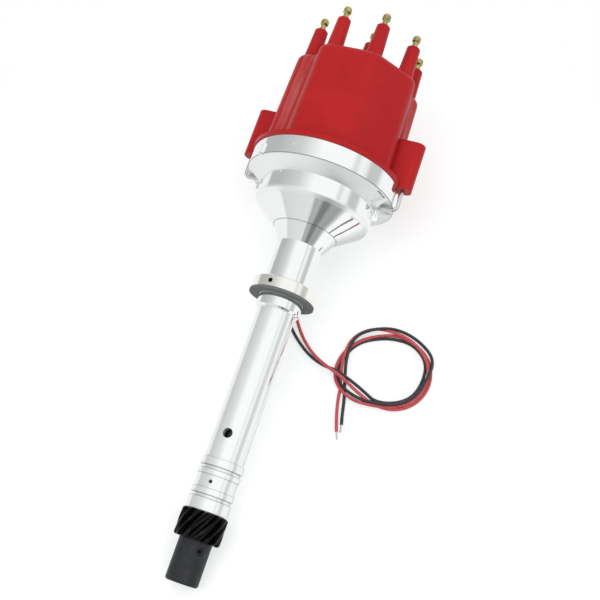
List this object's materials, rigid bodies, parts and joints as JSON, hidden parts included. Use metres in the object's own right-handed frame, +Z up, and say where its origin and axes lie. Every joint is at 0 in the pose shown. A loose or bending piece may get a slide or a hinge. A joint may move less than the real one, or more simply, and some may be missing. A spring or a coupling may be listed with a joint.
{
  "type": "ignition distributor",
  "caption": "Engine ignition distributor with slip collar, long gear-driven shaft and a ribbed cap of lead towers, laid on its side with its twisted leads coiled beside it.",
  "frame": {"origin": "on the shaft axis, in the plane of the gasket underside, where the distributor seats on the manifold", "axes": "+X level, along the bench towards the cap; +Z up off the bench; the shaft rises 8.60 degrees from +X towards +Z, as it lies on its gear and the edge of its bowl"},
  "size_m": [0.4283, 0.1866, 0.1165],
  "materials": {
    "black_epoxy": "potted",
    "black_insulation": "extruded",
    "black_iron": "black phosphate",
    "black_rubber": "matt",
    "brass": "satin",
    "bright_steel": "bright",
    "bronze": "sintered",
    "carbon": "graphite",
    "gasket_fibre": "matt",
    "nickel_plated_steel": "nickel plated",
    "plate_steel": "zinc plated",
    "polished_aluminium": "polished",
    "red_cap_plastic": "satin gloss",
    "red_insulation": "extruded",
    "rotor_plastic": "moulded",
    "steel": "ground",
    "tinned_copper": "stranded"
  },
  "bodies": {
    "housing": {"base_plate": "plate_steel", "bearing_outer_race": "steel", "black_lead": "black_insulation", "black_lead_core": "tinned_copper", "black_lead_end": "black_insulation", "button_spring": "steel", "coil_terminal": "brass", "distributor_cap": "red_cap_plastic", "housing": "polished_aluminium", "ignition_module": "black_epoxy", "latch_spring_left": "steel", "latch_spring_right": "steel", "lead_coil": "red_insulation", "lead_grommet": "black_rubber", "lower_bushing": "bronze", "module_screws": "steel", "pickup_sensor": "black_epoxy", "plug_terminals": "brass", "red_lead": "red_insulation", "red_lead_core": "tinned_copper", "red_lead_end": "red_insulation", "retaining_ring": "steel"},
    "shaft": {"main_shaft": "steel", "drive_gear": "black_iron", "roll_pin": "steel", "thrust_washer": "steel", "shaft_shim": "steel", "bearing_inner_race": "steel", "centre_cam": "steel"},
    "bearing_cage": {"bearing_cage": "steel"},
    "advance": {"advance_sleeve": "steel", "trigger_wheel": "steel", "rotor": "rotor_plastic", "rotor_blade": "brass", "rotor_screws": "steel", "advance_springs": "steel"},
    "weight_1": {"advance_weight_1": "steel"},
    "weight_2": {"advance_weight_2": "steel"},
    "gasket": {"collar_gasket": "gasket_fibre"},
    "collar": {"slip_collar": "nickel_plated_steel", "collar_set_screw": "steel"},
    "carbon_button": {"carbon_button": "carbon"},
    "latch_slider_left": {"latch_washer_left": "steel"},
    "latch_left": {"latch_rod_left": "bright_steel"},
    "latch_slider_right": {"latch_washer_right": "steel"},
    "latch_right": {"latch_rod_right": "bright_steel"}
  },
  "joints": [
    {"name": "shaft_spin", "type": "hinge", "parent": "housing", "child": "shaft", "pos_m": [0, 0, 0], "axis": [-0.9888, 0, -0.1496], "continuous": true},
    {"name": "bearing_cage_spin", "type": "hinge", "parent": "housing", "child": "bearing_cage", "pos_m": [0, 0, 0], "axis": [-0.9888, 0, -0.1496], "continuous": true},
    {"name": "advance_turn", "type": "hinge", "parent": "shaft", "child": "advance", "pos_m": [0, 0, 0], "axis": [-0.9888, 0, -0.1496], "range_deg": [0, 12]},
    {"name": "weight_1_swing", "type": "hinge", "parent": "advance", "child": "weight_1", "pos_m": [0.09447, 0.01416, 0.02469], "axis": [-0.9888, 0, -0.1496], "range_deg": [0, 24]},
    {"name": "weight_2_swing", "type": "hinge", "parent": "advance", "child": "weight_2", "pos_m": [0.09755, -0.01416, 0.00435], "axis": [-0.9888, 0, -0.1496], "range_deg": [0, 24]},
    {"name": "collar_slide", "type": "slide", "parent": "housing", "child": "gasket", "axis": [0.9888, 0, 0.1496], "range_m": [-0.0075, 0.03]},
    {"name": "collar_turn", "type": "hinge", "parent": "gasket", "child": "collar", "pos_m": [0, 0, 0], "axis": [0.9888, 0, 0.1496], "continuous": true},
    {"name": "button_plunge", "type": "slide", "parent": "housing", "child": "carbon_button", "axis": [0.9888, 0, 0.1496], "range_m": [0, 0.0015], "stiffness_N_per_m": 400, "springref_m": -0.002, "deforming": ["button_spring"]},
    {"name": "latch_left_press", "type": "slide", "parent": "housing", "child": "latch_slider_left", "axis": [-0.9888, 0, -0.1496], "range_m": [0, 0.0025], "stiffness_N_per_m": 3000, "springref_m": -0.002, "deforming": ["latch_spring_left"]},
    {"name": "latch_left_turn", "type": "hinge", "parent": "latch_slider_left", "child": "latch_left", "pos_m": [0.1406, 0.05827, 0.01193], "axis": [-0.9888, 0, -0.1496], "range_deg": [0, 180]},
    {"name": "latch_right_press", "type": "slide", "parent": "housing", "child": "latch_slider_right", "axis": [-0.9888, 0, -0.1496], "range_m": [0, 0.0025], "stiffness_N_per_m": 3000, "springref_m": -0.002, "deforming": ["latch_spring_right"]},
    {"name": "latch_right_turn", "type": "hinge", "parent": "latch_slider_right", "child": "latch_right", "pos_m": [0.13784, -0.05827, 0.03018], "axis": [-0.9888, 0, -0.1496], "range_deg": [0, 180]}
  ],
  "couplings": [
    {"joint": "bearing_cage_spin", "follows": "shaft_spin", "ratio": 0.42},
    {"joint": "weight_1_swing", "follows": "advance_turn", "ratio": 2},
    {"joint": "weight_2_swing", "follows": "advance_turn", "ratio": 2}
  ]
}
